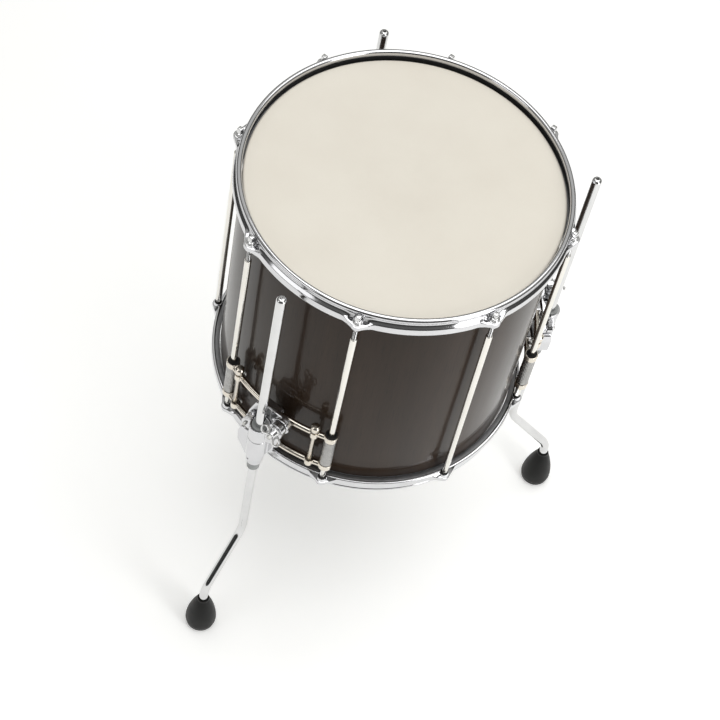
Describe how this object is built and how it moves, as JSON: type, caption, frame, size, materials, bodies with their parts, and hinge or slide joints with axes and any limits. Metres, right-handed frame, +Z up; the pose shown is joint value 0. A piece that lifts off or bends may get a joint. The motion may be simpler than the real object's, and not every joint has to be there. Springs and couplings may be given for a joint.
{
  "type": "floor tom drum",
  "caption": "Deep wooden drum with a head and cast hoop at each end, full-length tension tubes, and adjustable legs clamped in brackets on short rails.",
  "frame": {"origin": "on the floor, under the drum's axis", "axes": "+Z up along the drum's axis; leg 1 points along -Y, legs 2 and 3 lie 45 degrees either side of +Y"},
  "size_m": [0.4852, 0.5766, 0.753],
  "materials": {
    "lacquered_shell": "dark gloss lacquer",
    "coated_film": "smooth ivory satin film",
    "clear_film": "clear film",
    "hoop_aluminium": "rolled",
    "cast_chrome": "polished casting",
    "chrome_trim": "polished",
    "chrome_tube": "polished tube",
    "nickel_rail": "polished, slightly warm",
    "leg_chrome": "polished tube",
    "zinc_steel": "plain",
    "satin_plate": "satin, blank",
    "black_nylon": "moulded",
    "grey_nylon": "moulded",
    "black_rubber": "moulded",
    "foot_rubber": "moulded, satin"
  },
  "bodies": {
    "drum": {"shell": "lacquered_shell", "vent_grommet": "chrome_trim", "badge_plate": "satin_plate", "batter_film": "coated_film", "batter_flesh_hoop": "hoop_aluminium", "batter_hoop": "cast_chrome", "resonant_film": "clear_film", "resonant_flesh_hoop": "hoop_aluminium", "resonant_hoop": "cast_chrome", "rod_washers": "chrome_trim", "tube_foot_washers": "black_nylon", "tube_foot_screws": "zinc_steel", "rod_grommets": "black_rubber", "rod_sleeves": "chrome_tube", "rail_posts": "nickel_rail", "rail_screws": "zinc_steel", "clamp_bolts": "zinc_steel", "jaw_pins": "zinc_steel", "tension_tube_1": "chrome_tube", "tension_tube_2": "chrome_tube", "tension_tube_3": "chrome_tube", "tension_tube_4": "chrome_tube", "tension_tube_5": "chrome_tube", "tension_tube_6": "chrome_tube", "tension_tube_7": "chrome_tube", "tension_tube_8": "chrome_tube", "upper_rail_1": "nickel_rail", "upper_rail_2": "nickel_rail", "upper_rail_3": "nickel_rail", "lower_rail_1": "nickel_rail", "lower_rail_2": "nickel_rail", "lower_rail_3": "nickel_rail", "bracket_body_1": "cast_chrome", "bracket_body_2": "cast_chrome", "bracket_body_3": "cast_chrome"},
    "tension_rod_1": {"tension_rod_1": "chrome_trim"},
    "tension_rod_2": {"tension_rod_2": "chrome_trim"},
    "tension_rod_3": {"tension_rod_3": "chrome_trim"},
    "tension_rod_4": {"tension_rod_4": "chrome_trim"},
    "tension_rod_5": {"tension_rod_5": "chrome_trim"},
    "tension_rod_6": {"tension_rod_6": "chrome_trim"},
    "tension_rod_7": {"tension_rod_7": "chrome_trim"},
    "tension_rod_8": {"tension_rod_8": "chrome_trim"},
    "clamp_jaw_1": {"clamp_jaw_1": "cast_chrome"},
    "wing_nut_1": {"wing_nut_1": "chrome_trim"},
    "leg_liner_1": {"leg_liner_1": "grey_nylon"},
    "leg_1": {"leg_1": "leg_chrome", "foot_1": "foot_rubber"},
    "clamp_jaw_2": {"clamp_jaw_2": "cast_chrome"},
    "wing_nut_2": {"wing_nut_2": "chrome_trim"},
    "leg_liner_2": {"leg_liner_2": "grey_nylon"},
    "leg_2": {"leg_2": "leg_chrome", "foot_2": "foot_rubber"},
    "clamp_jaw_3": {"clamp_jaw_3": "cast_chrome"},
    "wing_nut_3": {"wing_nut_3": "chrome_trim"},
    "leg_liner_3": {"leg_liner_3": "grey_nylon"},
    "leg_3": {"leg_3": "leg_chrome", "foot_3": "foot_rubber"}
  },
  "joints": [
    {"name": "tension_rod_1_turn", "type": "hinge", "parent": "drum", "child": "tension_rod_1", "pos_m": [0.08228, -0.19863, 0.738], "axis": [0, 0, 1], "range_deg": [-720, 720]},
    {"name": "tension_rod_2_turn", "type": "hinge", "parent": "drum", "child": "tension_rod_2", "pos_m": [0.19863, -0.08228, 0.738], "axis": [0, 0, 1], "range_deg": [-720, 720]},
    {"name": "tension_rod_3_turn", "type": "hinge", "parent": "drum", "child": "tension_rod_3", "pos_m": [0.19863, 0.08228, 0.738], "axis": [0, 0, 1], "range_deg": [-720, 720]},
    {"name": "tension_rod_4_turn", "type": "hinge", "parent": "drum", "child": "tension_rod_4", "pos_m": [0.08228, 0.19863, 0.738], "axis": [0, 0, 1], "range_deg": [-720, 720]},
    {"name": "tension_rod_5_turn", "type": "hinge", "parent": "drum", "child": "tension_rod_5", "pos_m": [-0.08228, 0.19863, 0.738], "axis": [0, 0, 1], "range_deg": [-720, 720]},
    {"name": "tension_rod_6_turn", "type": "hinge", "parent": "drum", "child": "tension_rod_6", "pos_m": [-0.19863, 0.08228, 0.738], "axis": [0, 0, 1], "range_deg": [-720, 720]},
    {"name": "tension_rod_7_turn", "type": "hinge", "parent": "drum", "child": "tension_rod_7", "pos_m": [-0.19863, -0.08228, 0.738], "axis": [0, 0, 1], "range_deg": [-720, 720]},
    {"name": "tension_rod_8_turn", "type": "hinge", "parent": "drum", "child": "tension_rod_8", "pos_m": [-0.08228, -0.19863, 0.738], "axis": [0, 0, 1], "range_deg": [-720, 720]},
    {"name": "clamp_jaw_1_slide", "type": "slide", "parent": "drum", "child": "clamp_jaw_1", "axis": [0, -1, 0], "range_m": [0, 0.00187]},
    {"name": "wing_nut_1_turn", "type": "hinge", "parent": "clamp_jaw_1", "child": "wing_nut_1", "pos_m": [0.026, -0.2435, 0.48], "axis": [0, -1, 0], "range_deg": [0, 540]},
    {"name": "leg_liner_1_turn", "type": "hinge", "parent": "drum", "child": "leg_liner_1", "pos_m": [0, -0.241, 0.4], "axis": [0, 0, 1], "range_deg": [-180, 180]},
    {"name": "leg_1_slide", "type": "slide", "parent": "leg_liner_1", "child": "leg_1", "axis": [0, 0, 1], "range_m": [-0.24, 0.145]},
    {"name": "clamp_jaw_2_slide", "type": "slide", "parent": "drum", "child": "clamp_jaw_2", "axis": [0.7071, 0.7071, 0], "range_m": [0, 0.00187]},
    {"name": "wing_nut_2_turn", "type": "hinge", "parent": "clamp_jaw_2", "child": "wing_nut_2", "pos_m": [0.1538, 0.19057, 0.48], "axis": [0.7071, 0.7071, 0], "range_deg": [0, 540]},
    {"name": "leg_liner_2_turn", "type": "hinge", "parent": "drum", "child": "leg_liner_2", "pos_m": [0.17041, 0.17041, 0.4], "axis": [0, 0, 1], "range_deg": [-180, 180]},
    {"name": "leg_2_slide", "type": "slide", "parent": "leg_liner_2", "child": "leg_2", "axis": [0, 0, 1], "range_m": [-0.24, 0.145]},
    {"name": "clamp_jaw_3_slide", "type": "slide", "parent": "drum", "child": "clamp_jaw_3", "axis": [-0.7071, 0.7071, 0], "range_m": [0, 0.00187]},
    {"name": "wing_nut_3_turn", "type": "hinge", "parent": "clamp_jaw_3", "child": "wing_nut_3", "pos_m": [-0.19057, 0.1538, 0.48], "axis": [-0.7071, 0.7071, 0], "range_deg": [0, 540]},
    {"name": "leg_liner_3_turn", "type": "hinge", "parent": "drum", "child": "leg_liner_3", "pos_m": [-0.17041, 0.17041, 0.4], "axis": [0, 0, 1], "range_deg": [-180, 180]},
    {"name": "leg_3_slide", "type": "slide", "parent": "leg_liner_3", "child": "leg_3", "axis": [0, 0, 1], "range_m": [-0.24, 0.145]}
  ],
  "couplings": [
    {"joint": "wing_nut_1_turn", "follows": "clamp_jaw_1_slide", "rad_per_m": 5026.5},
    {"joint": "wing_nut_2_turn", "follows": "clamp_jaw_2_slide", "rad_per_m": 5026.5},
    {"joint": "wing_nut_3_turn", "follows": "clamp_jaw_3_slide", "rad_per_m": 5026.5}
  ]
}
